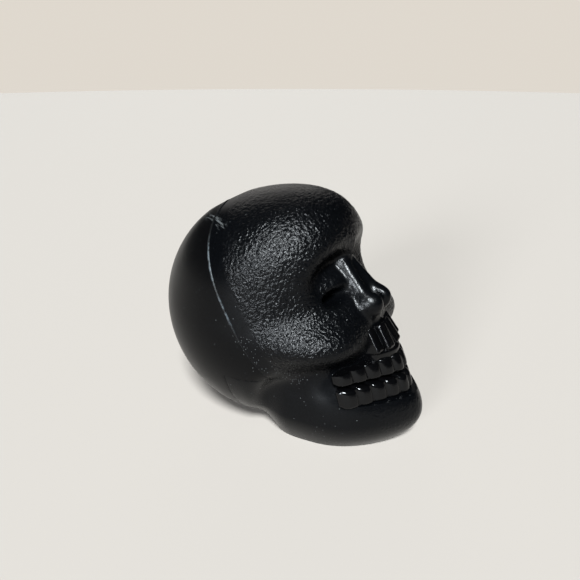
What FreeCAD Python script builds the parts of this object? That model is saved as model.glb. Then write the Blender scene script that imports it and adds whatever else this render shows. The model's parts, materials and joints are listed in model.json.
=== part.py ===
"""Skull ornament: two glued mouldings, tooth rows, seam bead, crown plug and jaw weight.

Millimetres. +Z up, the face looks along -Y and the model is the same on both sides of X = 0. The origin is the
bottom centre of the bounding box, and the jaw stands flat on Z = 0.

The outside is one smooth form: egg shapes blended into each other. form() gives the distance from it, negative
inside. skin() runs a B-spline surface over it at any depth, which gives the outside, the cavity and the joint.
"""
import FreeCAD, Part
import math
import os

# ---------------------------------------------------------------- driving dimensions
cranium_y = 9.51           # cranium centre, behind the middle of the bounding box
cranium_z = 27.3           # cranium centre above the table
lean = 29.4                # degrees that the cranium and its seam lean back
base_z = 0.0               # flat under the jaw
sky = 75.0                 # a height above the whole model

wall = 2.4                 # shell thickness
seam_back = -8.7           # seam plane from the cranium centre, along its leaning axis
jaw_split_z = 19.5         # under this height the seam runs behind the jaw
jaw_split_y = -3.0         # that far behind the cranium centre
bead_width = 0.7           # adhesive bead that shows along the seam
bead_proud = 0.2
bead_depth = 0.7
lip_depth = 1.3            # the face shell's lip starts this far under the skin
lip_length = 2.0

plug_radius = 3.2
plug_length = 4.0
crown_trim = 0.5           # the dome is dressed flat this far under its crown

mouth_back = -28.8         # rear edge of the tooth recess, from the cranium centre
mouth_low = 14.0           # top of the jaw rim
mouth_high = 24.4          # underside of the upper gum, at the front
arch_turn = math.radians(37.2)     # how far the sides of the dental arch slant back
arch_round = 3.3           # half width of the arch's rounded tip
core_tip = -38.0           # front of the gum core
lower_top = 18.7
upper_edge = 19.7
lower_tips = (-42.9, -41.5)        # fronts of the lower row, at its base and its top
upper_tips = (-41.1, -39.3)        # fronts of the upper row, at its edge and its gum
tooth_gaps = (0.0, 3.3, 6.6, 9.9, 13.1, 16.4)      # X of the gaps between teeth
root_x = (1.8, 5.2)        # two roots a side over the upper row
root_width = 3.3
shelf = (23.3, 25.6, 7.2, -38.4)   # ledge under the roots: bottom, top, half width, front

weight_top = 9.0
weight_back = -14.0

levels = 58                # B-spline net: heights
spokes = 96                # B-spline net: directions


# ---------------------------------------------------------------- the form
def blend(a, b, k):
    """Smooth union of two distances, rounded over k."""
    h = max(k - abs(a - b), 0.0) / k
    return min(a, b) - h * h * k * 0.25


def trim(a, b, k):
    """Smooth common part of two distances."""
    return -blend(-a, -b, k)


def egg(x, y, z, centre, radii, pitch=0.0, roll=0.0):
    """Distance to an ellipsoid, turned about X by pitch and then about Y by roll."""
    x, y, z = x - centre[0], y - centre[1], z - centre[2]
    if pitch:
        c, s = math.cos(math.radians(pitch)), math.sin(math.radians(pitch))
        y, z = y * c + z * s, z * c - y * s
    if roll:
        c, s = math.cos(math.radians(roll)), math.sin(math.radians(roll))
        x, z = x * c + z * s, z * c - x * s
    a, b, c = x / radii[0], y / radii[1], z / radii[2]
    size = math.sqrt(a * a + b * b + c * c)
    slope = math.sqrt((a / radii[0]) ** 2 + (b / radii[1]) ** 2 + (c / radii[2]) ** 2)
    return size * (size - 1.0) / max(slope, 1e-9)


def oval(x, y, centre, radii):
    """Distance to an upright elliptic cylinder."""
    a, b = x / radii[0], (y - centre) / radii[1]
    size = math.sqrt(a * a + b * b)
    slope = math.sqrt((a / radii[0]) ** 2 + (b / radii[1]) ** 2)
    return size * (size - 1.0) / max(slope, 1e-9)


def rod(x, y, z, start, end, r_start, r_end):
    """Distance to a tapered round-ended rod."""
    ax, ay, az = (end[i] - start[i] for i in range(3))
    px, py, pz = x - start[0], y - start[1], z - start[2]
    t = (px * ax + py * ay + pz * az) / (ax * ax + ay * ay + az * az)
    t = max(min(t, 1.0), 0.0)
    gap = math.sqrt((px - t * ax) ** 2 + (py - t * ay) ** 2 + (pz - t * az) ** 2)
    return gap - r_start - (r_end - r_start) * t


LEAN_C = math.cos(math.radians(lean))
LEAN_S = math.sin(math.radians(lean))


def head_form(x, y, z):
    """Cranium, brow, cheeks, sockets and nose."""
    back = y * LEAN_C - (z - cranium_z) * LEAN_S
    up = y * LEAN_S + (z - cranium_z) * LEAN_C
    d = egg(x, back, up, (0, -2.4, 0.5), (26.0, 28.0, 29.8))
    d = blend(d, egg(x, back, up, (0, -13.6, 13.3), (21.5, 20.7, 14.3)), 9)
    d = blend(d, egg(x, back, up, (6.5, -21.8, 10.5), (9.5, 8.0, 5.0), roll=-12), 5)
    d = blend(d, egg(x, back, up, (0, -15.5, -12.0), (13.0, 14.5, 17.0)), 6)
    # cheekbone
    d = blend(d, egg(x, y, z, (10.5, -17.5, 29.3), (13.0, 15.2, 6.6)), 4)
    # the cheeks overhang the jaw
    under_cheek = trim(z - 20.5, y + 12.0 - 0.25 * (20.5 - z), 8.0)
    d = trim(d, -under_cheek, 4.0)
    # gum block over the upper teeth
    d = blend(d, egg(x, y, z, (0, -26.5, 26.0), (8.0, 10.3, 5.5)), 1.0)
    # eye socket, the mound in it and the pocket beneath
    d = trim(d, -egg(x, y, z, (8.5, -28.5, 44.2), (9.0, 8.5, 5.4), roll=-14), 4)
    d = blend(d, egg(x, y, z, (4.0, -18.2, 41.5), (7.2, 6.8, 3.0), roll=-8), 3.0)
    d = trim(d, -egg(x, y, z, (8.4, -23.6, 38.3), (3.8, 6.0, 1.7), pitch=-20, roll=-5), 1.5)
    # nose block, its two side ridges with their wings, and the opening between them
    d = blend(d, egg(x, y, z, (0, -24.0, 37.0), (3.6, 5.0, 10.5), pitch=-35), 2.0)
    d = blend(d, rod(x, y, z, (1.6, -23.3, 45.3), (3.3, -31.0, 36.4), 1.3, 1.9), 1.5)
    d = blend(d, egg(x, y, z, (2.7, -31.2, 36.0), (2.4, 3.5, 3.0), pitch=-30), 2.0)
    d = blend(d, egg(x, y, z, (0, -28.5, 31.5), (4.2, 4.4, 3.0)), 1.0)
    return trim(d, -rod(x, y, z, (0, -28.0, 42.5), (0, -35.5, 34.6), 0.5, 1.5), 0.6)


def wedge(x, y, tip, turn=arch_turn):
    """Distance to a V with a rounded tip that points forwards."""
    return math.sin(turn) * (math.sqrt(x * x + arch_round ** 2) - arch_round) - math.cos(turn) * (y - tip)


def jaw_form(x, y, z):
    """Jaw: a V-fronted block that swells at the chin and pulls in to its base."""
    under = max(8.6 - z, 0.0) / 8.6
    over = max(z - 8.6, 0.0) / 7.5
    front = wedge(x, y, -46.0 + 5.8 * under ** 2 + 4.1 * over ** 2)
    side = oval(x, max(y, 2.4 * y + 23.8), -17.0, (18.6, 33.0)) + 4.0 * under ** 1.5 + 0.6 * over ** 2
    plan = trim(front, side, 7.0)
    return trim(plan, z - 25.0, 3.0)


def form(x, y, z):
    """Distance from the outside of the skull before the tooth recess is cut."""
    x, y = abs(x), y - cranium_y
    return blend(head_form(x, y, z), jaw_form(x, y, z), 5.0)


def recessed_form(x, y, z):
    """The same with the tooth recess, which the cavity has to stay clear of."""
    recess = trim(-wedge(x, y - cranium_y, core_tip), y - cranium_y - mouth_back, 0.5)
    recess = trim(recess, abs(z - (mouth_low + mouth_high) / 2) - (mouth_high - mouth_low) / 2, 0.5)
    return trim(form(x, y, z), -recess, 1.0)


# ---------------------------------------------------------------- B-spline skins
def axis_y(z):
    """Line from the jaw's middle up to the dome that every section is drawn around."""
    t = max(min((z - base_z) / 30.0, 1.0), 0.0)
    return cranium_y - 16.0 + 9.0 * t * t * (3 - 2 * t)


def reach(distance, depth, z, angle):
    """Radius at which the skin lies under the form by depth."""
    sx, sy = math.sin(angle), -math.cos(angle)
    centre = axis_y(z)
    out, step = 46.0, 0.8
    while out > 0.3 and distance(out * sx, centre + out * sy, z) > -depth:
        out -= max(step, 0.6 * (distance(out * sx, centre + out * sy, z) + depth))
    low, high = max(out, 0.3), out + 6.0
    for _ in range(22):
        mid = (low + high) / 2
        if distance(mid * sx, centre + mid * sy, z) > -depth:
            high = mid
        else:
            low = mid
    return (low + high) / 2


def highest(distance, depth):
    """Top of the skin over the section axis."""
    low, high = cranium_z, sky
    while high - low > 0.001:
        mid = (low + high) / 2
        if distance(0.0, axis_y(mid), mid) > -depth:
            high = mid
        else:
            low = mid
    return low


def heights(low, top, rows):
    """Section heights, closing up towards the dome's crown and the base, where the form runs level."""
    foot, dome = 6, rows // 4
    pitch = (top - low) / (rows - 1 - (foot + dome) / 2)
    found = []
    for i in range(rows):
        left = rows - 1 - i
        if i < foot:
            z = low + pitch * foot / 2 * (i / foot) ** 2
        elif left < dome:
            z = top - pitch * dome / 2 * ((left + 0.8) / (dome + 0.8)) ** 2
        else:
            z = low + pitch * (i - foot / 2)
        found.append(z)
    return found


def skin(distance, depth, low, rows, columns):
    """Closed solid whose side follows the form at a depth under it."""
    top = highest(distance, depth)
    turn = [2 * math.pi * j / columns for j in range(columns)]
    turn = [a - 0.35 * math.sin(a) for a in turn]              # spokes crowd towards the face
    net = []
    for z in heights(low, top, rows):
        half = [reach(distance, depth, z, a) for a in turn[: columns // 2 + 1]]
        radii = half + half[-2:0:-1]
        net.append([FreeCAD.Vector(r * math.sin(a), axis_y(z) - r * math.cos(a), z) for r, a in zip(radii, turn)])
    # poles a little outside the points, so that the surface passes close to the points
    poles = []
    for i, row in enumerate(net):
        out = []
        for j, p in enumerate(row):
            bend = row[j - 1] + row[(j + 1) % columns] - p * 2
            if 0 < i < rows - 1:
                bend = bend + net[i - 1][j] + net[i + 1][j] - p * 2
            out.append(p - bend * (1 / 6))
        poles.append(out)
    surface = Part.BSplineSurface()
    inner = rows - 3
    surface.buildFromPolesMultsKnots(
        poles,
        [4] + [1] * (inner - 1) + [4],
        [1] * (columns + 1),
        list(range(inner + 1)),
        list(range(columns + 1)),
        False, True, 3, 3,
    )
    side = surface.toShape()
    caps = []
    for end in (0, inner):
        caps.append(Part.Face(Part.Wire([surface.uIso(end).toShape()])))
    shell = Part.makeShell([side] + caps)
    shell.sewShape()
    solid = Part.makeSolid(shell)
    if solid.Volume < 0:
        solid.reverse()
    return solid


# ---------------------------------------------------------------- placing things on the leaning cranium
SEAM_AXIS = FreeCAD.Vector(0, LEAN_C, -LEAN_S)          # square to the seam plane, backwards
CROWN_AXIS = FreeCAD.Vector(0, LEAN_S, LEAN_C)          # up through the crown
CENTRE = FreeCAD.Vector(0, cranium_y, cranium_z)


def front_zone(shift):
    """Everything in front of the seam: the leaning plane, and under the cheeks the whole jaw."""
    half = 80.0
    face_side = Part.makeBox(2 * half, half, 2 * half, FreeCAD.Vector(-half, shift - half, -half))
    face_side.rotate(FreeCAD.Vector(0, 0, 0), FreeCAD.Vector(1, 0, 0), -lean)
    face_side.translate(CENTRE + SEAM_AXIS * seam_back)
    jaw_back = cranium_y + jaw_split_y + shift
    jaw_side = Part.makeBox(2 * half, half, half, FreeCAD.Vector(-half, jaw_back - half, jaw_split_z + shift - half))
    return face_side.fuse(jaw_side)


def crown_point():
    """Where the seam plane meets the middle of the dome."""
    low, high = 10.0, 60.0
    while high - low > 0.001:
        mid = (low + high) / 2
        p = CENTRE + SEAM_AXIS * seam_back + CROWN_AXIS * mid
        if form(p.x, p.y, p.z) > 0:
            high = mid
        else:
            low = mid
    return CENTRE + SEAM_AXIS * seam_back + CROWN_AXIS * low


# ---------------------------------------------------------------- teeth
def arch_y(x, tip):
    """How far forward the arch runs at X, when its middle is at tip."""
    return cranium_y + tip + math.tan(arch_turn) * (math.hypot(x, arch_round) - arch_round)


def arch_plate(tip, low, high, reach_x=30.0):
    """Plate whose front edge is the arch and whose back is far behind it."""
    count = 24
    places = [reach_x * (2 * i / count - 1) for i in range(count + 1)]
    curve = Part.BSplineCurve()
    curve.interpolate([FreeCAD.Vector(x, arch_y(x, tip), low) for x in places])
    right = FreeCAD.Vector(reach_x, arch_y(reach_x, tip), low)
    left = FreeCAD.Vector(-reach_x, arch_y(reach_x, tip), low)
    away = FreeCAD.Vector(0, 12, 0)
    rest = Part.makePolygon([right, right + away, left + away, left])
    return Part.Face(Part.Wire([curve.toShape()] + rest.Edges)).extrude(FreeCAD.Vector(0, 0, high - low))


def mouth_room():
    """The space between the recess's floor, its rear end and its ceiling, which drops to the rear."""
    front = -60.0
    rear_low = mouth_back + 0.3 * (mouth_low - lower_top)
    ceiling_rear = mouth_high - 0.2 * (mouth_back + 39.0)
    rear_high = mouth_back + 0.3 * (ceiling_rear - lower_top)
    corners = [
        (front, mouth_low),
        (rear_low, mouth_low),
        (rear_high, mouth_high - 0.2 * (rear_high + 39.0)),
        (front, mouth_high - 0.2 * (front + 39.0)),
    ]
    side = [FreeCAD.Vector(-40, cranium_y + y, z) for y, z in corners]
    return Part.Face(Part.makePolygon(side + side[:1])).extrude(FreeCAD.Vector(80, 0, 0))


def tooth(left, right, low, high, tips):
    """One tooth: a round-edged block between two X, whose front leans from tips[0] up to tips[1]."""
    depth = 2.6
    ends = []
    for z, tip in ((low, tips[0]), (high, tips[1])):
        a, b = arch_y(left, tip), arch_y(right, tip)
        corners = [(left, a), (right, b), (right, b + depth), (left, a + depth)]
        points = [FreeCAD.Vector(x, y, z) for x, y in corners]
        ends.append(Part.makePolygon(points + points[:1]))
    block = Part.makeLoft(ends, True, True)
    middle_y = (arch_y(left, tips[0]) + arch_y(right, tips[1])) / 2
    front = [e for e in block.Edges if e.CenterOfMass.y < middle_y + depth * 0.45]
    return block.makeFillet(0.55, front)


def row(low, high, tips):
    """A row of teeth on one gum band."""
    band = arch_plate(tips[1] + 1.0, low + 0.3, high - 0.3).cut(arch_plate(core_tip + 1.0, low, high))
    width = tooth_gaps[-1] - 0.3
    solid = band.common(Part.makeBox(2 * width, 60, 40, FreeCAD.Vector(-width, cranium_y - 60, 0)))
    for left, right in zip(tooth_gaps, tooth_gaps[1:]):
        solid = solid.fuse(tooth(left + 0.08, right - 0.08, low, high, tips))
        solid = solid.fuse(tooth(-right + 0.08, -left - 0.08, low, high, tips))
    return solid.common(mouth_room())


def root(x):
    """Flat-faced root ridge that leans back towards the nose."""
    side = math.copysign(1.0, x)
    back = 0.45 * (abs(x) - root_x[0])
    ridge = Part.makeBox(root_width, 4.0, 6.8, FreeCAD.Vector(-root_width / 2, -2.0, -3.4))
    ridge = ridge.makeFillet(0.7, ridge.Edges)
    ridge.rotate(FreeCAD.Vector(0, 0, 0), FreeCAD.Vector(0, 1, 0), -8 * side)
    ridge.rotate(FreeCAD.Vector(0, 0, 0), FreeCAD.Vector(1, 0, 0), -34)
    ridge.translate(FreeCAD.Vector(x, cranium_y - 34.4 + back, 27.6))
    return ridge


def root_shelf():
    """Ledge under the roots that joins them to the upper row."""
    low, high, half, tip = shelf
    ledge = arch_plate(tip, low, high).cut(arch_plate(tip + 3.0, low, high))
    return ledge.common(Part.makeBox(2 * half, 60, 40, FreeCAD.Vector(-half, cranium_y - 60, 0)))


def main_solid(shape):
    """The largest solid of a cut shape, without the crumbs."""
    return max(shape.Solids, key=lambda solid: solid.Volume)


# ---------------------------------------------------------------- the pieces
outside = skin(form, 0.0, base_z, levels, spokes)
bead_crest = skin(form, -bead_proud, base_z, levels, spokes)
bead_root = skin(form, bead_depth, base_z, levels, spokes)
lip_face = skin(recessed_form, lip_depth, base_z + lip_depth, 40, 72)
cavity = skin(recessed_form, wall, base_z + wall, 40, 72)

crown = crown_point()
dome_cap = Part.makeBox(80, 80, 20, FreeCAD.Vector(-40, -40, 0))
dome_cap.rotate(FreeCAD.Vector(0, 0, 0), FreeCAD.Vector(1, 0, 0), -lean)
dome_cap.translate(crown - CROWN_AXIS * crown_trim)

gum_core = arch_plate(core_tip, mouth_low - 1.0, mouth_high + 3.0)
mouth = mouth_room().cut(gum_core)
body = outside.cut(mouth)

plug_hole = Part.makeCylinder(plug_radius, plug_length + 4, crown - CROWN_AXIS * plug_length, CROWN_AXIS)
bead_zone = front_zone(bead_width / 2).cut(front_zone(-bead_width / 2))
split = front_zone(0.0)

hollow = body.cut(cavity).cut(dome_cap).cut(plug_hole).cut(bead_zone.cut(bead_root))
lip_zone = front_zone(lip_length).cut(front_zone(-2.0))
lip = lip_face.cut(cavity).common(lip_zone).cut(plug_hole)

face_shell = hollow.common(split).fuse(lip)
cranium_shell = hollow.cut(split).cut(lip_face.common(front_zone(lip_length + 0.1)))
seam_bead = bead_crest.cut(bead_root).common(bead_zone).cut(dome_cap).cut(plug_hole)
crown_plug = Part.makeCylinder(plug_radius, plug_length - crown_trim, crown - CROWN_AXIS * plug_length, CROWN_AXIS)

upper_teeth = row(upper_edge, mouth_high - 0.3, upper_tips).fuse(root_shelf())
for x in root_x:
    upper_teeth = upper_teeth.fuse(root(x)).fuse(root(-x))
upper_teeth = main_solid(upper_teeth.cut(body))
lower_teeth = main_solid(row(mouth_low, lower_top, lower_tips).cut(body))

weight_room = Part.makeBox(80, 60, weight_top, FreeCAD.Vector(-40, cranium_y + weight_back - 60, 0))
base_weight = cavity.common(weight_room)

pieces = {
    "face_shell": face_shell,
    "cranium_shell": cranium_shell,
    "seam_bead": seam_bead,
    "crown_plug": crown_plug,
    "upper_teeth": upper_teeth,
    "lower_teeth": lower_teeth,
    "base_weight": base_weight,
}

os.makedirs("parts", exist_ok=True)
for name, shape in pieces.items():
    shape.exportStep("parts/" + name + ".step")
    print(name, len(shape.Solids), shape.isValid(), round(shape.Volume, 1), shape.BoundBox)
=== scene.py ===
"""Looks of a small black moulded skull ornament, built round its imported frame.

Shapes are written in the skull's own millimetres, and mm turns those into metres from the frame's size.
form() is the distance from the outside of the skull, and every piece is a distance cut from it. contour()
turns a distance into a mesh with clean edges. The grain of the face is moved into its mesh and sharpened by
the bump in its material.
"""

import json
import math

import bpy
import numpy as np
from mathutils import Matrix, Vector, noise

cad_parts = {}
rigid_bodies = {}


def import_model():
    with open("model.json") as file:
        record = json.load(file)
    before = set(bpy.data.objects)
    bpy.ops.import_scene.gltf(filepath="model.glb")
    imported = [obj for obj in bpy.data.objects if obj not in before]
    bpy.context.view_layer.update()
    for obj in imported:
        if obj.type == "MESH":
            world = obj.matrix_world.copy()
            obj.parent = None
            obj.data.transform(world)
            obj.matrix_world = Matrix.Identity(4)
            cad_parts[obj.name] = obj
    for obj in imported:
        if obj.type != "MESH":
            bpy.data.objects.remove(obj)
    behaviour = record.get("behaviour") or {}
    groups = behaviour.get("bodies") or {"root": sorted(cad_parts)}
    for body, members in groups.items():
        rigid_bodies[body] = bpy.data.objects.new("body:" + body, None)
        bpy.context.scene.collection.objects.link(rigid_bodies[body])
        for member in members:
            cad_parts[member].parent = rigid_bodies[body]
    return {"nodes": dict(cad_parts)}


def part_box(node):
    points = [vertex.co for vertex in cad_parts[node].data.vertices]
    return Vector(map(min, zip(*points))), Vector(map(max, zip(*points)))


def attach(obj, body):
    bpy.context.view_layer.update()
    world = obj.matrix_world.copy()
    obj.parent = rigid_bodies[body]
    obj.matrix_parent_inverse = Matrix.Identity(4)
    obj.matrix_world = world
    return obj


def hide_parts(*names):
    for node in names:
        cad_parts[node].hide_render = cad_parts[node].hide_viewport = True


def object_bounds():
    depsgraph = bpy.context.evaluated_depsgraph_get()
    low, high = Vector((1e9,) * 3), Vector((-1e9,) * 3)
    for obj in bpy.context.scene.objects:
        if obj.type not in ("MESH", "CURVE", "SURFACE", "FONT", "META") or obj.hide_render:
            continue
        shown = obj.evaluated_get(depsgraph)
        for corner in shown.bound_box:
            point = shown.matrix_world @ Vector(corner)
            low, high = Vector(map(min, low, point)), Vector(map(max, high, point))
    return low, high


for default in list(bpy.data.objects):
    bpy.data.objects.remove(default)
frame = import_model()
cad_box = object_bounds()

# ---------------------------------------------------------------- driving sizes, in skull millimetres
skull_length = 72.36                      # the frame's Y size, so the skins stay just inside its box
mm = (cad_box[1].y - cad_box[0].y) / skull_length      # metres in a skull millimetre
cranium_y = 9.51                          # cranium centre, behind the middle of the frame's box
cranium_z = 27.3                          # cranium centre above the floor
lean = math.radians(29.4)                 # the cranium and its seam lean back
wall = 2.4                                # shell thickness

# seam, bead and crown
seam_back = -8.7                          # seam plane from the cranium centre, along its leaning axis
jaw_split_z = 19.5                        # under this height the seam runs behind the jaw
jaw_split_y = -3.0                        # that far behind the cranium centre
bead_width = 0.7
bead_proud = 0.2
bead_depth = 0.8
bead_start_z = 24.0                       # the bead comes up between these heights
bead_full_z = 34.0
bead_gap = 0.05                           # round the plug
crown_trim = 0.5                          # the dome is dressed flat this far under its crown
plug_radius = 3.2
plug_length = 4.0
plug_gap = 0.04
soft_edge = 0.3                           # rounding of the bead and the plug

# cheeks and jaw, Y from the cranium centre
cheek_low = 20.5                          # the cheeks overhang the jaw from this height
cheek_rear = -12.0
chin_z = 8.6                              # the jaw is fullest at this height
chin_front = -46.0
chin_to_lip = 7.5
base_pull = 5.8                           # how far the front pulls back at the base
lip_pull = 4.1                            # and at the lip
side_base_pull = 4.0                      # the same for the sides
side_lip_pull = 0.6
jaw_middle = -17.0
jaw_radii = (18.6, 33.0)
rear_squeeze = 2.4                        # the jaw is this much shorter behind its middle
jaw_top = 25.0
jaw_corner = 7.0                          # rounding from the front to the sides
jaw_top_round = 3.0
jaw_blend = 5.0                           # rounding from the jaw to the head

# tooth recess and teeth, Y from the cranium centre
mouth_back = -28.8                        # rear edge of the recess, at lower_top
mouth_low = 14.0
mouth_high = 24.4                         # ceiling, at ceiling_front
rear_lean = 0.3
ceiling_front = -39.0
ceiling_drop = 0.2
mouth_gap = 0.02
arch_turn = math.radians(37.2)            # how far the sides of the dental arch slant back
arch_round = 3.3                          # half width of the rounded tip
core_tip = -38.0                          # front of the gum core
lower_top = 18.7
upper_edge = 19.7
upper_gum = 24.1
lower_tips = (-42.9, -41.5)               # fronts of the lower row, at its base and its top
upper_tips = (-41.1, -39.3)               # fronts of the upper row, at its edge and its gum
tooth_gaps = (0.0, 3.3, 6.6, 9.9, 13.1, 16.4)          # x of the gaps between teeth
tooth_clear = 0.08                        # half the width of a gap
tooth_depth = 3.8
tooth_round = 0.9
tooth_fall = (0.35, 0.25)                 # how far a tooth's front falls back at its sides and its ends
gum_inset = 0.3                           # the gum band stands back from the row's ends
gum_sunk = 0.8                            # and from its front
gum_rooted = 1.0                          # and reaches into the gum core

# roots and the ledge under them, Y from the cranium centre
root_x = (1.8, 5.2)
root_y = -34.4                            # of the first root
root_z = 27.6
root_slant = 0.45                         # how far each root stands back for its distance from the first
root_width = 3.3
root_depth = 4.0
root_height = 6.8
root_round = 0.7
root_pitch = -34
root_roll = 8
shelf_low = 23.3
shelf_high = 25.6
shelf_half = 7.2                          # half the ledge's width
shelf_front = -38.4
shelf_depth = 3.0
shelf_round = 0.8

# pebbles on the face
grain_seed = 3.0
grain_size = 0.85
grain_height = 0.095

# marks and painted glints on the shells, from under the cranium's centre
scuff_from = Vector((-10.1, 10.3, 54.7))  # pale scratch beside the crown
scuff_to = Vector((-16.8, 1.0, 54.9))
brush_middle = Vector((-14.3, -13.8, 57.0))            # fine parallel strokes on the side of the forehead
brush_way = Vector((0.76, -0.50, 0.41))
brush_half = 4                            # half the length of the brushed patch
glint_from = Vector((-25.1, -8.3, 30.5))   # painted glints along the lit pebbled rim behind and under the cheek
glint_bend = Vector((-23.9, -13.4, 25.0))
glint_to = Vector((-18.5, -19.5, 19.8))
# pale specks: dust all over, plus painted glints along the lit rim under the cheek
speck_size = 0.5
dust_and_glint_grey = (0.06, 0.064, 0.064)
scuff_grey = (0.055, 0.058, 0.058)
seam_wear_and_highlight = (0.032, 0.038, 0.042)         # worn paint on the bead, held to its lit upper stretch, so partly a painted highlight

# mesh resolution
face_cell = 0.46
cranium_cell = 0.5
tooth_cell = 0.2
bead_cell = 0.22
margin = 1.5                              # room round a node's box
crease = math.radians(48)                 # edges that turn by more than this stay sharp

# camera, which looks past a point in the skull so that the skull is off centre
camera_azimuth = -61.1
camera_elevation = 22.7
camera_distance = 156.3
camera_right = 6.7                        # how far beside and over that point it looks
camera_up = 2.9
aim_z = 29.5                              # height of that point, straight over the cranium's centre
focal_length = 35.3                       # on a 36 mm sensor


# ---------------------------------------------------------------- distances
def blend(a, b, k):
    """Smooth union of two distances, rounded over k."""
    h = np.maximum(k - np.abs(a - b), 0.0) / k
    return np.minimum(a, b) - h * h * k * 0.25


def trim(a, b, k):
    """Smooth common part of two distances."""
    return -blend(-a, -b, k)


def ramp(value, start, end):
    """0 before start, 1 after end, smooth between."""
    t = np.clip((value - start) / (end - start), 0, 1)
    return t * t * (3 - 2 * t)


def egg(x, y, z, centre, radii, pitch=0.0, roll=0.0):
    """Distance to an ellipsoid, turned about X by pitch and then about Y by roll."""
    x, y, z = x - centre[0], y - centre[1], z - centre[2]
    if pitch:
        c, s = math.cos(math.radians(pitch)), math.sin(math.radians(pitch))
        y, z = y * c + z * s, z * c - y * s
    if roll:
        c, s = math.cos(math.radians(roll)), math.sin(math.radians(roll))
        x, z = x * c + z * s, z * c - x * s
    a, b, c = x / radii[0], y / radii[1], z / radii[2]
    size = np.sqrt(a * a + b * b + c * c)
    slope = np.sqrt((a / radii[0]) ** 2 + (b / radii[1]) ** 2 + (c / radii[2]) ** 2)
    return size * (size - 1.0) / np.maximum(slope, 1e-6)


def bar(x, y, z, centre, half, rounding, pitch=0.0, roll=0.0):
    """Distance to a round-edged block, turned about X by pitch and then about Y by roll."""
    x, y, z = x - centre[0], y - centre[1], z - centre[2]
    c, s = math.cos(math.radians(pitch)), math.sin(math.radians(pitch))
    y, z = y * c + z * s, z * c - y * s
    c, s = math.cos(math.radians(roll)), math.sin(math.radians(roll))
    x, z = x * c + z * s, z * c - x * s
    gaps = [np.abs(v) - h + rounding for v, h in zip((x, y, z), half)]
    beyond = np.sqrt(sum(np.maximum(g, 0.0) ** 2 for g in gaps))
    return beyond + np.minimum(np.maximum(np.maximum(gaps[0], gaps[1]), gaps[2]), 0.0) - rounding


def oval(x, y, centre, radii):
    """Distance to an upright elliptic cylinder."""
    a, b = x / radii[0], (y - centre) / radii[1]
    size = np.sqrt(a * a + b * b)
    slope = np.sqrt((a / radii[0]) ** 2 + (b / radii[1]) ** 2)
    return size * (size - 1.0) / np.maximum(slope, 1e-6)


def rod(x, y, z, start, end, r_start, r_end):
    """Distance to a tapered round-ended rod."""
    ax, ay, az = (end[i] - start[i] for i in range(3))
    px, py, pz = x - start[0], y - start[1], z - start[2]
    t = np.clip((px * ax + py * ay + pz * az) / (ax * ax + ay * ay + az * az), 0.0, 1.0)
    gap = np.sqrt((px - t * ax) ** 2 + (py - t * ay) ** 2 + (pz - t * az) ** 2)
    return gap - r_start - (r_end - r_start) * t


def leaning(y, z):
    """Back and up along the cranium's leaning axes, from its centre."""
    back = y * math.cos(lean) - (z - cranium_z) * math.sin(lean)
    up = y * math.sin(lean) + (z - cranium_z) * math.cos(lean)
    return back, up


def head_form(x, y, z):
    """Cranium, brow, cheeks, sockets and nose."""
    back, up = leaning(y, z)
    # dome, forehead, brow and upper jaw
    d = egg(x, back, up, (0, -2.4, 0.5), (26.0, 28.0, 29.8))
    d = blend(d, egg(x, back, up, (0, -13.6, 13.3), (21.5, 20.7, 14.3)), 9)
    d = blend(d, egg(x, back, up, (6.5, -21.8, 10.5), (9.5, 8.0, 5.0), roll=-12), 5)
    d = blend(d, egg(x, back, up, (0, -15.5, -12.0), (13.0, 14.5, 17.0)), 6)
    # cheekbone
    d = blend(d, egg(x, y, z, (10.5, -17.5, 29.3), (13.0, 15.2, 6.6)), 4)
    # the cheeks overhang the jaw
    under_cheek = trim(z - cheek_low, y - cheek_rear - 0.25 * (cheek_low - z), 8.0)
    d = trim(d, -under_cheek, 4.0)
    # gum block over the upper teeth
    d = blend(d, egg(x, y, z, (0, -26.5, 26.0), (8.0, 10.3, 5.5)), 1.0)
    # eye socket, the mound in it and the pocket beneath
    d = trim(d, -egg(x, y, z, (8.5, -28.5, 44.2), (9.0, 8.5, 5.4), roll=-14), 4)
    d = blend(d, egg(x, y, z, (4.0, -18.2, 41.5), (7.2, 6.8, 3.0), roll=-8), 3.0)
    d = trim(d, -egg(x, y, z, (8.4, -23.6, 38.3), (3.8, 6.0, 1.7), pitch=-20, roll=-5), 1.5)
    # nose block, its two side ridges with their wings, and the opening between them
    d = blend(d, egg(x, y, z, (0, -24.0, 37.0), (3.6, 5.0, 10.5), pitch=-35), 2.0)
    d = blend(d, rod(x, y, z, (1.6, -23.3, 45.3), (3.3, -31.0, 36.4), 1.3, 1.9), 1.5)
    d = blend(d, egg(x, y, z, (2.7, -31.2, 36.0), (2.4, 3.5, 3.0), pitch=-30), 2.0)
    d = blend(d, egg(x, y, z, (0, -28.5, 31.5), (4.2, 4.4, 3.0)), 1.0)
    return trim(d, -rod(x, y, z, (0, -28.0, 42.5), (0, -35.5, 34.6), 0.5, 1.5), 0.6)


def wedge(x, y, tip):
    """Distance to a V with a rounded tip that points forwards."""
    spread = np.sqrt(x * x + arch_round ** 2) - arch_round
    return math.sin(arch_turn) * spread - math.cos(arch_turn) * (y - tip)


def jaw_form(x, y, z):
    """Jaw: a V-fronted block that swells at the chin and pulls in to its base."""
    under = np.maximum(chin_z - z, 0.0) / chin_z
    over = np.maximum(z - chin_z, 0.0) / chin_to_lip
    front = wedge(x, y, chin_front + base_pull * under ** 2 + lip_pull * over ** 2)
    squeezed = np.maximum(y, jaw_middle + rear_squeeze * (y - jaw_middle))
    side = oval(x, squeezed, jaw_middle, jaw_radii)
    side = side + side_base_pull * under ** 1.5 + side_lip_pull * over ** 2
    plan = trim(front, side, jaw_corner)
    return trim(plan, z - jaw_top, jaw_top_round)


def form(x, y, z):
    """Distance from the outside of the skull before the tooth recess is cut."""
    x, y = np.abs(x), y - cranium_y
    return blend(head_form(x, y, z), jaw_form(x, y, z), jaw_blend)


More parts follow.
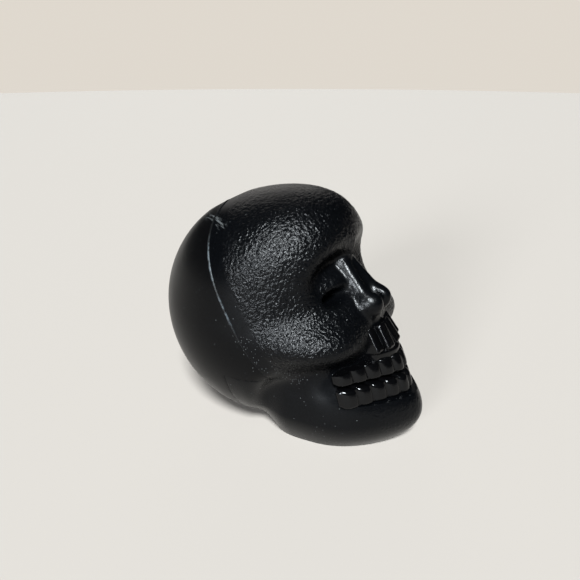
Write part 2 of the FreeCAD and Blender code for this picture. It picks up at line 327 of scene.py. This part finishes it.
def mouth_ends(y, z):
    """Distance past the tooth recess's leaning rear, its floor or its ceiling, which drops to the rear."""
    rear = y - mouth_back - rear_lean * (z - lower_top)
    ceiling = z - mouth_high + ceiling_drop * (y - ceiling_front)
    return np.maximum(np.maximum(rear, ceiling), mouth_low - z)


def mouth(x, y, z):
    """Distance to the tooth recess round the gum core."""
    y = y - cranium_y
    return np.maximum(-wedge(x, y, core_tip), mouth_ends(y, z))


def front_zone(y, z):
    """In front of the seam: the leaning plane, and under the cheeks the whole jaw."""
    back, _ = leaning(y - cranium_y, z)
    jaw_side = np.maximum(y - cranium_y - jaw_split_y, z - jaw_split_z)
    return np.minimum(back - seam_back, jaw_side)


# ---------------------------------------------------------------- meshing
def slope_of(distance, p):
    """Unit gradients of a distance at points."""
    step_size = 0.03
    slope = np.empty_like(p)
    for axis in range(3):
        step = np.zeros(3)
        step[axis] = step_size
        ahead, behind = p + step, p - step
        slope[:, axis] = distance(*ahead.T) - distance(*behind.T)
    return slope / np.maximum(np.linalg.norm(slope, axis=1), 1e-9)[:, None]


def sample(distance, axes, block=6):
    """Distances on a grid. Blocks that are far from the surface get their middle's distance throughout."""
    cell = axes[0][1] - axes[0][0]
    counts = [len(a) for a in axes]
    middles = [a[0] + cell * (np.arange(0, n, block) + (block - 1) / 2) for a, n in zip(axes, counts)]
    coarse = distance(*np.meshgrid(*middles, indexing="ij"))
    for axis in range(3):
        coarse = coarse.repeat(block, axis)
    field = coarse[: counts[0], : counts[1], : counts[2]].copy()
    near_enough = 1.6 * block * cell
    near = np.argwhere(np.abs(field) < near_enough)
    place = tuple(near.T)
    field[place] = distance(*(axes[i][place[i]] for i in range(3)))
    return field


def contour(distance, low, high, cell):
    """Closed quad mesh of distance 0, whose vertices sit where the surface's planes meet.

    That keeps cut edges sharp. steady holds a vertex near its crossings' middle where the surface is flat.
    """
    steady = 0.08
    counts = [int(math.ceil((high[i] - low[i]) / cell)) + 1 for i in range(3)]
    axes = [low[i] + cell * np.arange(counts[i]) for i in range(3)]
    field = sample(distance, axes)
    inside = field < 0
    strides = np.array([counts[1] * counts[2], counts[2], 1])
    hits, slopes, rings = [], [], []
    for axis in range(3):
        unit = np.eye(3, dtype=int)[axis]
        near = np.take(inside, range(counts[axis] - 1), axis)
        far = np.take(inside, range(1, counts[axis]), axis)
        edge = np.argwhere(near != far)
        a, b = field[tuple(edge.T)], field[tuple((edge + unit).T)]
        p = np.array(low) + cell * (edge + (a / (a - b))[:, None] * unit)
        u, v = np.eye(3, dtype=int)[(axis + 1) % 3], np.eye(3, dtype=int)[(axis + 2) % 3]
        ring = np.stack([(edge - k) @ strides for k in (u + v, v, 0 * u, u)], axis=1)
        leaving = near[tuple(edge.T)]
        ring[~leaving] = ring[~leaving][:, ::-1]
        hits.append(p)
        slopes.append(slope_of(distance, p))
        rings.append(ring)
    hits, slopes, rings = np.concatenate(hits), np.concatenate(slopes), np.concatenate(rings)
    cells, faces = np.unique(rings, return_inverse=True)
    faces = faces.reshape(rings.shape)
    share = np.zeros(len(cells))
    middle = np.zeros((len(cells), 3))
    for corner in faces.T:
        np.add.at(share, corner, 1.0)
        np.add.at(middle, corner, hits)
    middle /= share[:, None]
    matrix = np.zeros((len(cells), 3, 3))
    right = np.zeros((len(cells), 3))
    for corner in faces.T:
        gap = np.einsum("ij,ij->i", slopes, hits - middle[corner])
        np.add.at(matrix, corner, slopes[:, :, None] * slopes[:, None, :])
        np.add.at(right, corner, slopes * gap[:, None])
    matrix += np.eye(3) * steady
    shift = np.linalg.solve(matrix, right[:, :, None])[:, :, 0]
    corner = np.stack([cells // strides[0], cells // strides[1] % counts[1], cells % counts[2]], axis=1)
    cell_low = np.array(low) + cell * corner
    return np.clip(middle + shift, cell_low, cell_low + cell), faces


def new_piece(name, points, faces, slot, material, node):
    """Object from a contoured mesh, riding on the body and standing for its CAD node."""
    mesh = bpy.data.meshes.new(name)
    mesh.from_pydata((points * mm).tolist(), [], faces.tolist())
    mesh.validate()
    piece = bpy.data.objects.new(name, mesh)
    bpy.context.scene.collection.objects.link(piece)
    mesh.materials.append(material)
    mesh.shade_smooth()
    mesh.set_sharp_from_angle(angle=crease)
    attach(piece, "root")
    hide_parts(node)
    return piece


def meshed(shape, node, cell):
    """Contour of a shape in its CAD node's box, on a grid that is even about the skull's middle plane."""
    low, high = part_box(node)
    half = (math.ceil((high.x / mm + margin) / cell) + 0.5) * cell
    bottom = (-half, low.y / mm - margin, low.z / mm - margin)
    top = (half, high.y / mm + margin, high.z / mm + margin)
    return contour(shape, bottom, top, cell)


# ---------------------------------------------------------------- crown, seam and teeth
def crown_place():
    """Point on the dome over the seam, and the leaning up direction there."""
    up = np.array([0.0, math.sin(lean), math.cos(lean)])
    seam = np.array([0.0, cranium_y + seam_back * math.cos(lean), cranium_z - seam_back * math.sin(lean)])
    low, high = 10.0, 60.0
    while high - low > 0.001:
        middle = (low + high) / 2
        if form(*(seam + up * middle)) > 0:
            high = middle
        else:
            low = middle
    return seam + up * low, up


crown, crown_up = crown_place()


def crown_frame(x, y, z):
    """Distance from the crown's axis, and height over the crown."""
    px, py, pz = x - crown[0], y - crown[1], z - crown[2]
    over = py * crown_up[1] + pz * crown_up[2]
    away = np.sqrt(px ** 2 + (py - over * crown_up[1]) ** 2 + (pz - over * crown_up[2]) ** 2)
    return away, over


def body(x, y, z):
    """Outside of both shells: the form with its flat base, tooth recess, dressed crown and plug hole."""
    d = np.maximum(form(x, y, z), -z)
    d = np.maximum(d, -mouth(x, y, z))
    away, over = crown_frame(x, y, z)
    d = np.maximum(d, over + crown_trim)
    return np.maximum(d, -np.maximum(away - plug_radius, -over - plug_length))


def shell(x, y, z):
    """The body as a hollow moulding."""
    d = body(x, y, z)
    return np.maximum(d, -d - wall)


def face_shape(x, y, z):
    return np.maximum(shell(x, y, z), front_zone(y, z))


def cranium_shape(x, y, z):
    return np.maximum(shell(x, y, z), -front_zone(y, z))


def bead_shape(x, y, z):
    """Rounded bead along the seam, proud of both shells."""
    d = form(x, y, z)
    shown = ramp(z, bead_start_z, bead_full_z)
    proud = bead_proud * shown
    half = bead_width * (0.2 + 0.2 * shown)
    d = trim(np.maximum(d - proud, -d - bead_depth), np.abs(front_zone(y, z)) - half, soft_edge)
    away, over = crown_frame(x, y, z)
    d = np.maximum(np.maximum(d, over + crown_trim), -z)
    return np.maximum(d, -np.maximum(away - plug_radius - bead_gap, -over - plug_length))


def plug_shape(x, y, z):
    """Cast plug in the filling hole, with a soft edge."""
    away, over = crown_frame(x, y, z)
    ends = np.abs(over + (plug_length + crown_trim) / 2) - (plug_length - crown_trim) / 2
    return trim(away - plug_radius + plug_gap, ends, soft_edge)


def tooth_row(x, y, z, low, high, tips):
    """Teeth on a gum band, for z from low to high. tips are how far forward the row is at those heights."""
    x, y = np.abs(x), y - cranium_y
    t = np.clip((z - low) / (high - low), 0, 1)
    out = wedge(x, y, tips[0] + (tips[1] - tips[0]) * t)
    middle, tall = (low + high) / 2, (high - low) / 2
    gum = np.maximum(np.abs(z - middle) - tall + gum_inset, out + gum_sunk)
    gum = np.maximum(gum, -wedge(x, y, core_tip) - gum_rooted)
    d = np.maximum(gum, x - tooth_gaps[-1] + gum_inset)
    for left, right in zip(tooth_gaps, tooth_gaps[1:]):
        half = ((right - left) / 2 - tooth_clear, tooth_depth / 2, tall)
        across = x - (left + right) / 2
        fall = tooth_fall[0] * (across / half[0]) ** 2 + tooth_fall[1] * ((z - middle) / tall) ** 2
        crowned = out + half[1] + fall
        d = np.minimum(d, bar(across, crowned, z, (0, 0, middle), half, tooth_round))
    return np.maximum(d, mouth_ends(y, z) + mouth_gap)


def upper_shape(x, y, z):
    """Upper row with the root ridges over it, and the ledge that joins them."""
    d = tooth_row(x, y, z, upper_edge, upper_gum, upper_tips)
    x, y = np.abs(x), y - cranium_y
    level = np.abs(z - (shelf_low + shelf_high) / 2) - (shelf_high - shelf_low) / 2
    ledge = trim(np.maximum(level, x - shelf_half), wedge(x, y, shelf_front), shelf_round)
    d = np.minimum(d, np.maximum(ledge, -wedge(x, y, shelf_front + shelf_depth)))
    half = (root_width / 2, root_depth / 2, root_height / 2)
    for middle in root_x:
        centre = (middle, root_y + root_slant * (middle - root_x[0]), root_z)
        d = np.minimum(d, bar(x, y, z, centre, half, root_round, root_pitch, root_roll))
    return d


def lower_shape(x, y, z):
    return tooth_row(x, y, z, mouth_low, lower_top, lower_tips)


# ---------------------------------------------------------------- grain
def grained(points, where):
    """Moves points along the form's slope by a pebbled grain, as strongly as where says."""
    moved = points.copy()
    out = slope_of(form, points)
    for i in np.nonzero(where > 0.01)[0]:
        p = Vector(points[i]) / grain_size + Vector((grain_seed, 0, 0))
        rise = noise.noise(p) + 0.45 * noise.noise(p * 2.1)
        moved[i] += out[i] * (rise * grain_height * where[i])
    return moved


def on_skin(points):
    """1 on the outside of the form, 0 on cut faces and inside."""
    return 1 - ramp(np.abs(form(*points.T)), 0.03, 0.1)


def pebble_zone(points):
    """How pebbled the face is: strong on brow, temples and cheeks, light on the chin and the nose."""
    x, y, z = points.T
    back, up = leaning(y - cranium_y, z)
    # it stops at an edge in front of the seam and under the cheek, and is lighter over the crown
    zone = (1 - ramp(back, -13.4, -12.0)) * ramp(z, 19.5, 24.0)
    zone = zone * (1 - 0.55 * ramp(up, 20.0, 28.0))
    # the middle of the face is smoother
    inner = (1 - ramp(np.abs(x), 4.0, 10.0)) * (1 - ramp(z, 44.0, 50.0))
    chin = ramp(z, 4.0, 7.0) * (1 - ramp(z, 12.0, 15.0)) * (1 - ramp(y, -28.0, -22.0))
    return zone * (1 - 0.85 * inner) + 0.35 * chin


def nearness(points, start, end, full, none):
    """1 within full of a line between two places, 0 beyond none."""
    start, way = np.array(start), np.array(end - start)
    t = np.clip((points - start) @ way / (way @ way), 0, 1)
    gap = np.linalg.norm(points - start - t[:, None] * way, axis=1)
    return 1 - ramp(gap, full, none)


def attribute(piece, name, values):
    """Stores a number per vertex for the material."""
    layer = piece.data.attributes.new(name, "FLOAT", "POINT")
    layer.data.foreach_set("value", np.asarray(values, np.float32))


def mark(piece, points):
    """Stores where a shell has painted glints, scuffs and brush strokes."""
    points = points - np.array([0, cranium_y, 0])
    # painted glints: a line of extra pale specks along the lit pebbled rim behind and under the cheek
    behind_cheek = nearness(points, glint_from, glint_bend, full=0.5, none=3.5)
    under_cheek = nearness(points, glint_bend, glint_to, full=0.5, none=4.0)
    attribute(piece, "painted_highlight", np.maximum(behind_cheek, under_cheek))
    attribute(piece, "scuff", nearness(points, scuff_from, scuff_to, full=0.4, none=1.5))
    reach = brush_way * brush_half
    brushed = nearness(points, brush_middle - reach, brush_middle + reach, full=1.5, none=5.0)
    attribute(piece, "brush", brushed)


# ---------------------------------------------------------------- materials
def nodes_of(name):
    """New material, its nodes and its links."""
    material = bpy.data.materials.new(name)
    material.use_nodes = True
    return material, material.node_tree.nodes, material.node_tree.links


def plastic(
    name, shade, rough, rough_spread, bump_size, bump_height, pebble=0.0, gloss=0.3, marked=False, wear_and_highlight=None
):
    """Moulded plastic, with its bumps in millimetres.

    Attributes on the mesh place the pebbles, the dust specks with their painted glints, and the scuff and
    brush strokes of a marked one. They also place the patches of worn paint and painted highlight of one
    given a patch colour in the last argument.
    """
    material, nodes, links = nodes_of(name)
    shader = nodes["Principled BSDF"]
    place = nodes.new("ShaderNodeTexCoord").outputs["Object"]

    def noise_node(size, detail, roughness=0.5, along=None):
        """Noise of a size in millimetres, drawn out along a direction if one is given."""
        node = nodes.new("ShaderNodeTexNoise")
        node.inputs["Scale"].default_value = 1 / (size * mm)
        node.inputs["Detail"].default_value = detail
        node.inputs["Roughness"].default_value = roughness
        if along is None:
            links.new(place, node.inputs["Vector"])
        else:
            turn = nodes.new("ShaderNodeMapping")
            turn.vector_type = "TEXTURE"
            turn.inputs["Rotation"].default_value = along.to_track_quat("X", "Z").to_euler()
            turn.inputs["Scale"].default_value = (14, 1, 1)
            links.new(place, turn.inputs["Vector"])
            links.new(turn.outputs["Vector"], node.inputs["Vector"])
        return node.outputs["Fac"]

    def mapped(value, low, high, to_low=0.0, to_high=1.0):
        node = nodes.new("ShaderNodeMapRange")
        node.inputs["From Min"].default_value = low
        node.inputs["From Max"].default_value = high
        node.inputs["To Min"].default_value = to_low
        node.inputs["To Max"].default_value = to_high
        links.new(value, node.inputs["Value"])
        return node.outputs["Result"]

    def combined(operation, a, b):
        node = nodes.new("ShaderNodeMath")
        node.operation = operation
        links.new(a, node.inputs[0])
        links.new(b, node.inputs[1])
        return node.outputs["Value"]

    def mixed(fac, a, b):
        node = nodes.new("ShaderNodeMix")
        node.data_type = "RGBA"
        if isinstance(a, tuple):
            node.inputs["A"].default_value = (*a, 1)
        else:
            links.new(a, node.inputs["A"])
        node.inputs["B"].default_value = (*b, 1)
        links.new(fac, node.inputs["Factor"])
        return node.outputs["Result"]

    def stored(name):
        node = nodes.new("ShaderNodeAttribute")
        node.attribute_name = name
        return node.outputs["Fac"]

    def bump(height, distance, normal=None, strength=None):
        node = nodes.new("ShaderNodeBump")
        node.inputs["Distance"].default_value = distance * mm
        links.new(height, node.inputs["Height"])
        if strength is not None:
            links.new(strength, node.inputs["Strength"])
        if normal is not None:
            links.new(normal, node.inputs["Normal"])
        return node.outputs["Normal"]

    dark = tuple(c * 0.75 for c in shade)
    light = tuple(c * 1.6 for c in shade)
    colour = mixed(mapped(noise_node(0.6, 5, 0.7), 0.35, 0.75), dark, light)
    normal = bump(noise_node(bump_size, 3, 0.55), bump_height)
    shader.inputs["Specular IOR Level"].default_value = gloss
    if pebble:
        normal = bump(noise_node(0.7, 2, 0.5), pebble, normal, stored("pebble"))
    if marked:
        # pale specks: dust everywhere, and many more as painted glints along the lit rim under the cheek
        dots = nodes.new("ShaderNodeTexVoronoi")
        dots.inputs["Scale"].default_value = 1 / (speck_size * mm)
        links.new(place, dots.inputs["Vector"])
        odds = mapped(stored("painted_highlight"), 0, 1, 0.11, 0.50)
        chosen = combined("ADD", mapped(dots.outputs["Color"], 0.0, 1.0), odds)
        rounded = mapped(dots.outputs["Distance"], 0.12, 0.24, 1, 0)
        specks = combined("MULTIPLY", rounded, mapped(chosen, 0.97, 1.03))
        colour = mixed(specks, colour, dust_and_glint_grey)
        streaks = mapped(noise_node(0.5, 3, 0.6, scuff_to - scuff_from), 0.5, 0.62)
        colour = mixed(combined("MULTIPLY", streaks, stored("scuff")), colour, scuff_grey)
        normal = bump(noise_node(0.55, 2, 0.6, brush_way), 0.20, normal, stored("brush"))
    # pale patches of worn paint, kept to where the seam is lit: partly a painted highlight
    if wear_and_highlight:
        patches = combined("MULTIPLY", mapped(noise_node(1.6, 3, 0.65), 0.44, 0.6), stored("painted_highlight"))
        colour = mixed(patches, colour, wear_and_highlight)
    links.new(colour, shader.inputs["Base Color"])
    uneven = mapped(noise_node(7.0, 4, 0.6), 0.3, 0.7, rough - rough_spread, rough + rough_spread)
    links.new(uneven, shader.inputs["Roughness"])
    links.new(normal, shader.inputs["Normal"])
    return material


face_black = plastic(
    "face_black", (0.0006, 0.0007, 0.0009), rough=0.27, rough_spread=0.04,
    bump_size=0.25, bump_height=0.010, pebble=0.38, gloss=0.12, marked=True,
)
cranium_black = plastic(
    "cranium_black", (0.0007, 0.0007, 0.0008), rough=0.32, rough_spread=0.04,
    bump_size=0.25, bump_height=0.010, gloss=0.10, marked=True,
)
bead_black = plastic(
    "bead_black", (0.0018, 0.0019, 0.002), rough=0.38, rough_spread=0.06,
    bump_size=0.3, bump_height=0.02, gloss=0.15, wear_and_highlight=seam_wear_and_highlight,
)
plug_black = plastic(
    "plug_black", (0.0030, 0.0030, 0.0030), rough=0.45, rough_spread=0.08,
    bump_size=0.3, bump_height=0.02, gloss=0.15,
)
tooth_black = plastic(
    "tooth_black", (0.0006, 0.0006, 0.0007), rough=0.15, rough_spread=0.03,
    bump_size=0.5, bump_height=0.012, gloss=0.20,
)
ballast_grey = plastic(
    "ballast_grey", (0.08, 0.08, 0.08), rough=0.6, rough_spread=0.1,
    bump_size=0.5, bump_height=0.1,
)


# ---------------------------------------------------------------- pieces
points, faces = meshed(face_shape, "face_shell", face_cell)
zone = pebble_zone(points) * on_skin(points)
points = grained(points, zone)
face_skin = new_piece("face_skin", points, faces, "face_skin", face_black, "face_shell")
attribute(face_skin, "pebble", zone)
mark(face_skin, points)

points, faces = meshed(cranium_shape, "cranium_shell", cranium_cell)
cranium_skin = new_piece("cranium_skin", points, faces, "cranium_skin", cranium_black, "cranium_shell")
mark(cranium_skin, points)

points, faces = meshed(bead_shape, "seam_bead", bead_cell)
seam_line = new_piece("seam_line", points, faces, "seam_bead", bead_black, "seam_bead")
# the bead is paler only between these heights, where the seam is lit: a painted highlight
height = points[:, 2]
attribute(seam_line, "painted_highlight", ramp(height, 32.0, 37.0) * (1 - ramp(height, 50.0, 53.0)))

unmarked_pieces = (
    ("filling_plug", plug_shape, "crown_plug", bead_cell, "crown_plug", plug_black),
    ("upper_row", upper_shape, "upper_teeth", tooth_cell, "teeth", tooth_black),
    ("lower_row", lower_shape, "lower_teeth", tooth_cell, "teeth", tooth_black),
)
for name, shape, node, cell, slot, material in unmarked_pieces:
    new_piece(name, *meshed(shape, node, cell), slot, material, node)

frame["nodes"]["base_weight"].data.materials.clear()
frame["nodes"]["base_weight"].data.materials.append(ballast_grey)


# ---------------------------------------------------------------- studio
def unit_to(azimuth, elevation):
    """Direction from the skull, azimuth 0 in front of the face."""
    a, e = math.radians(azimuth), math.radians(elevation)
    return Vector((math.sin(a) * math.cos(e), -math.cos(a) * math.cos(e), math.sin(e)))


def light(name, azimuth, elevation, spread, power, colour):
    """Soft far lamp, spread degrees wide as the skull sees it."""
    lamp = bpy.data.lights.new(name, "SUN")
    lamp.angle = math.radians(spread)
    lamp.energy = power
    lamp.color = colour
    holder = bpy.data.objects.new(name, lamp)
    holder.rotation_euler = unit_to(azimuth, elevation).to_track_quat("Z", "Y").to_euler()
    bpy.context.scene.collection.objects.link(holder)


floor_radius = 1500
bpy.ops.mesh.primitive_circle_add(vertices=96, radius=floor_radius * mm, fill_type="NGON")
floor = bpy.context.object
floor.name = "floor"
pale, pale_nodes, _ = nodes_of("pale_floor")
pale_nodes["Principled BSDF"].inputs["Base Color"].default_value = (0.25, 0.226, 0.202, 1)
pale_nodes["Principled BSDF"].inputs["Roughness"].default_value = 0.8
floor.data.materials.append(pale)

world = bpy.data.worlds.new("studio")
bpy.context.scene.world = world
world.use_nodes = True
world_nodes, world_links = world.node_tree.nodes, world.node_tree.links
ambient = world_nodes["Background"]
ambient.inputs["Color"].default_value = (0.80, 0.82, 0.86, 1)
ambient.inputs["Strength"].default_value = 0.02
backdrop = world_nodes.new("ShaderNodeBackground")
backdrop.inputs["Color"].default_value = (0.74, 0.69, 0.62, 1)
backdrop.inputs["Strength"].default_value = 1.0
ray = world_nodes.new("ShaderNodeLightPath")
shown = world_nodes.new("ShaderNodeMixShader")
world_links.new(ray.outputs["Is Camera Ray"], shown.inputs["Fac"])
world_links.new(ambient.outputs["Background"], shown.inputs[1])
world_links.new(backdrop.outputs["Background"], shown.inputs[2])
world_links.new(shown.outputs["Shader"], world_nodes["World Output"].inputs["Surface"])

light("window", azimuth=-61, elevation=48, spread=14, power=12.4, colour=(0.90, 0.96, 1.0))
light("side", azimuth=-90, elevation=14, spread=16, power=5.2, colour=(0.88, 0.94, 1.0))
light("wall", azimuth=125, elevation=22, spread=40, power=0.25, colour=(1.0, 0.96, 0.92))

camera_data = bpy.data.cameras.new("camera")
camera_data.sensor_width = 36.0
camera_data.lens = focal_length
camera_data.clip_start = 0.01
camera = bpy.data.objects.new("camera", camera_data)
back = unit_to(camera_azimuth, camera_elevation)
right = Vector((math.cos(math.radians(camera_azimuth)), math.sin(math.radians(camera_azimuth)), 0))
aim = Vector((0, cranium_y, aim_z)) * mm
beside = right * camera_right * mm + back.cross(right) * camera_up * mm
camera.location = aim + back * camera_distance * mm + beside
camera.rotation_mode = "QUATERNION"
camera.rotation_quaternion = back.to_track_quat("Z", "Y")
bpy.context.scene.collection.objects.link(camera)
bpy.context.scene.camera = camera
bpy.context.scene.view_settings.view_transform = "Standard"
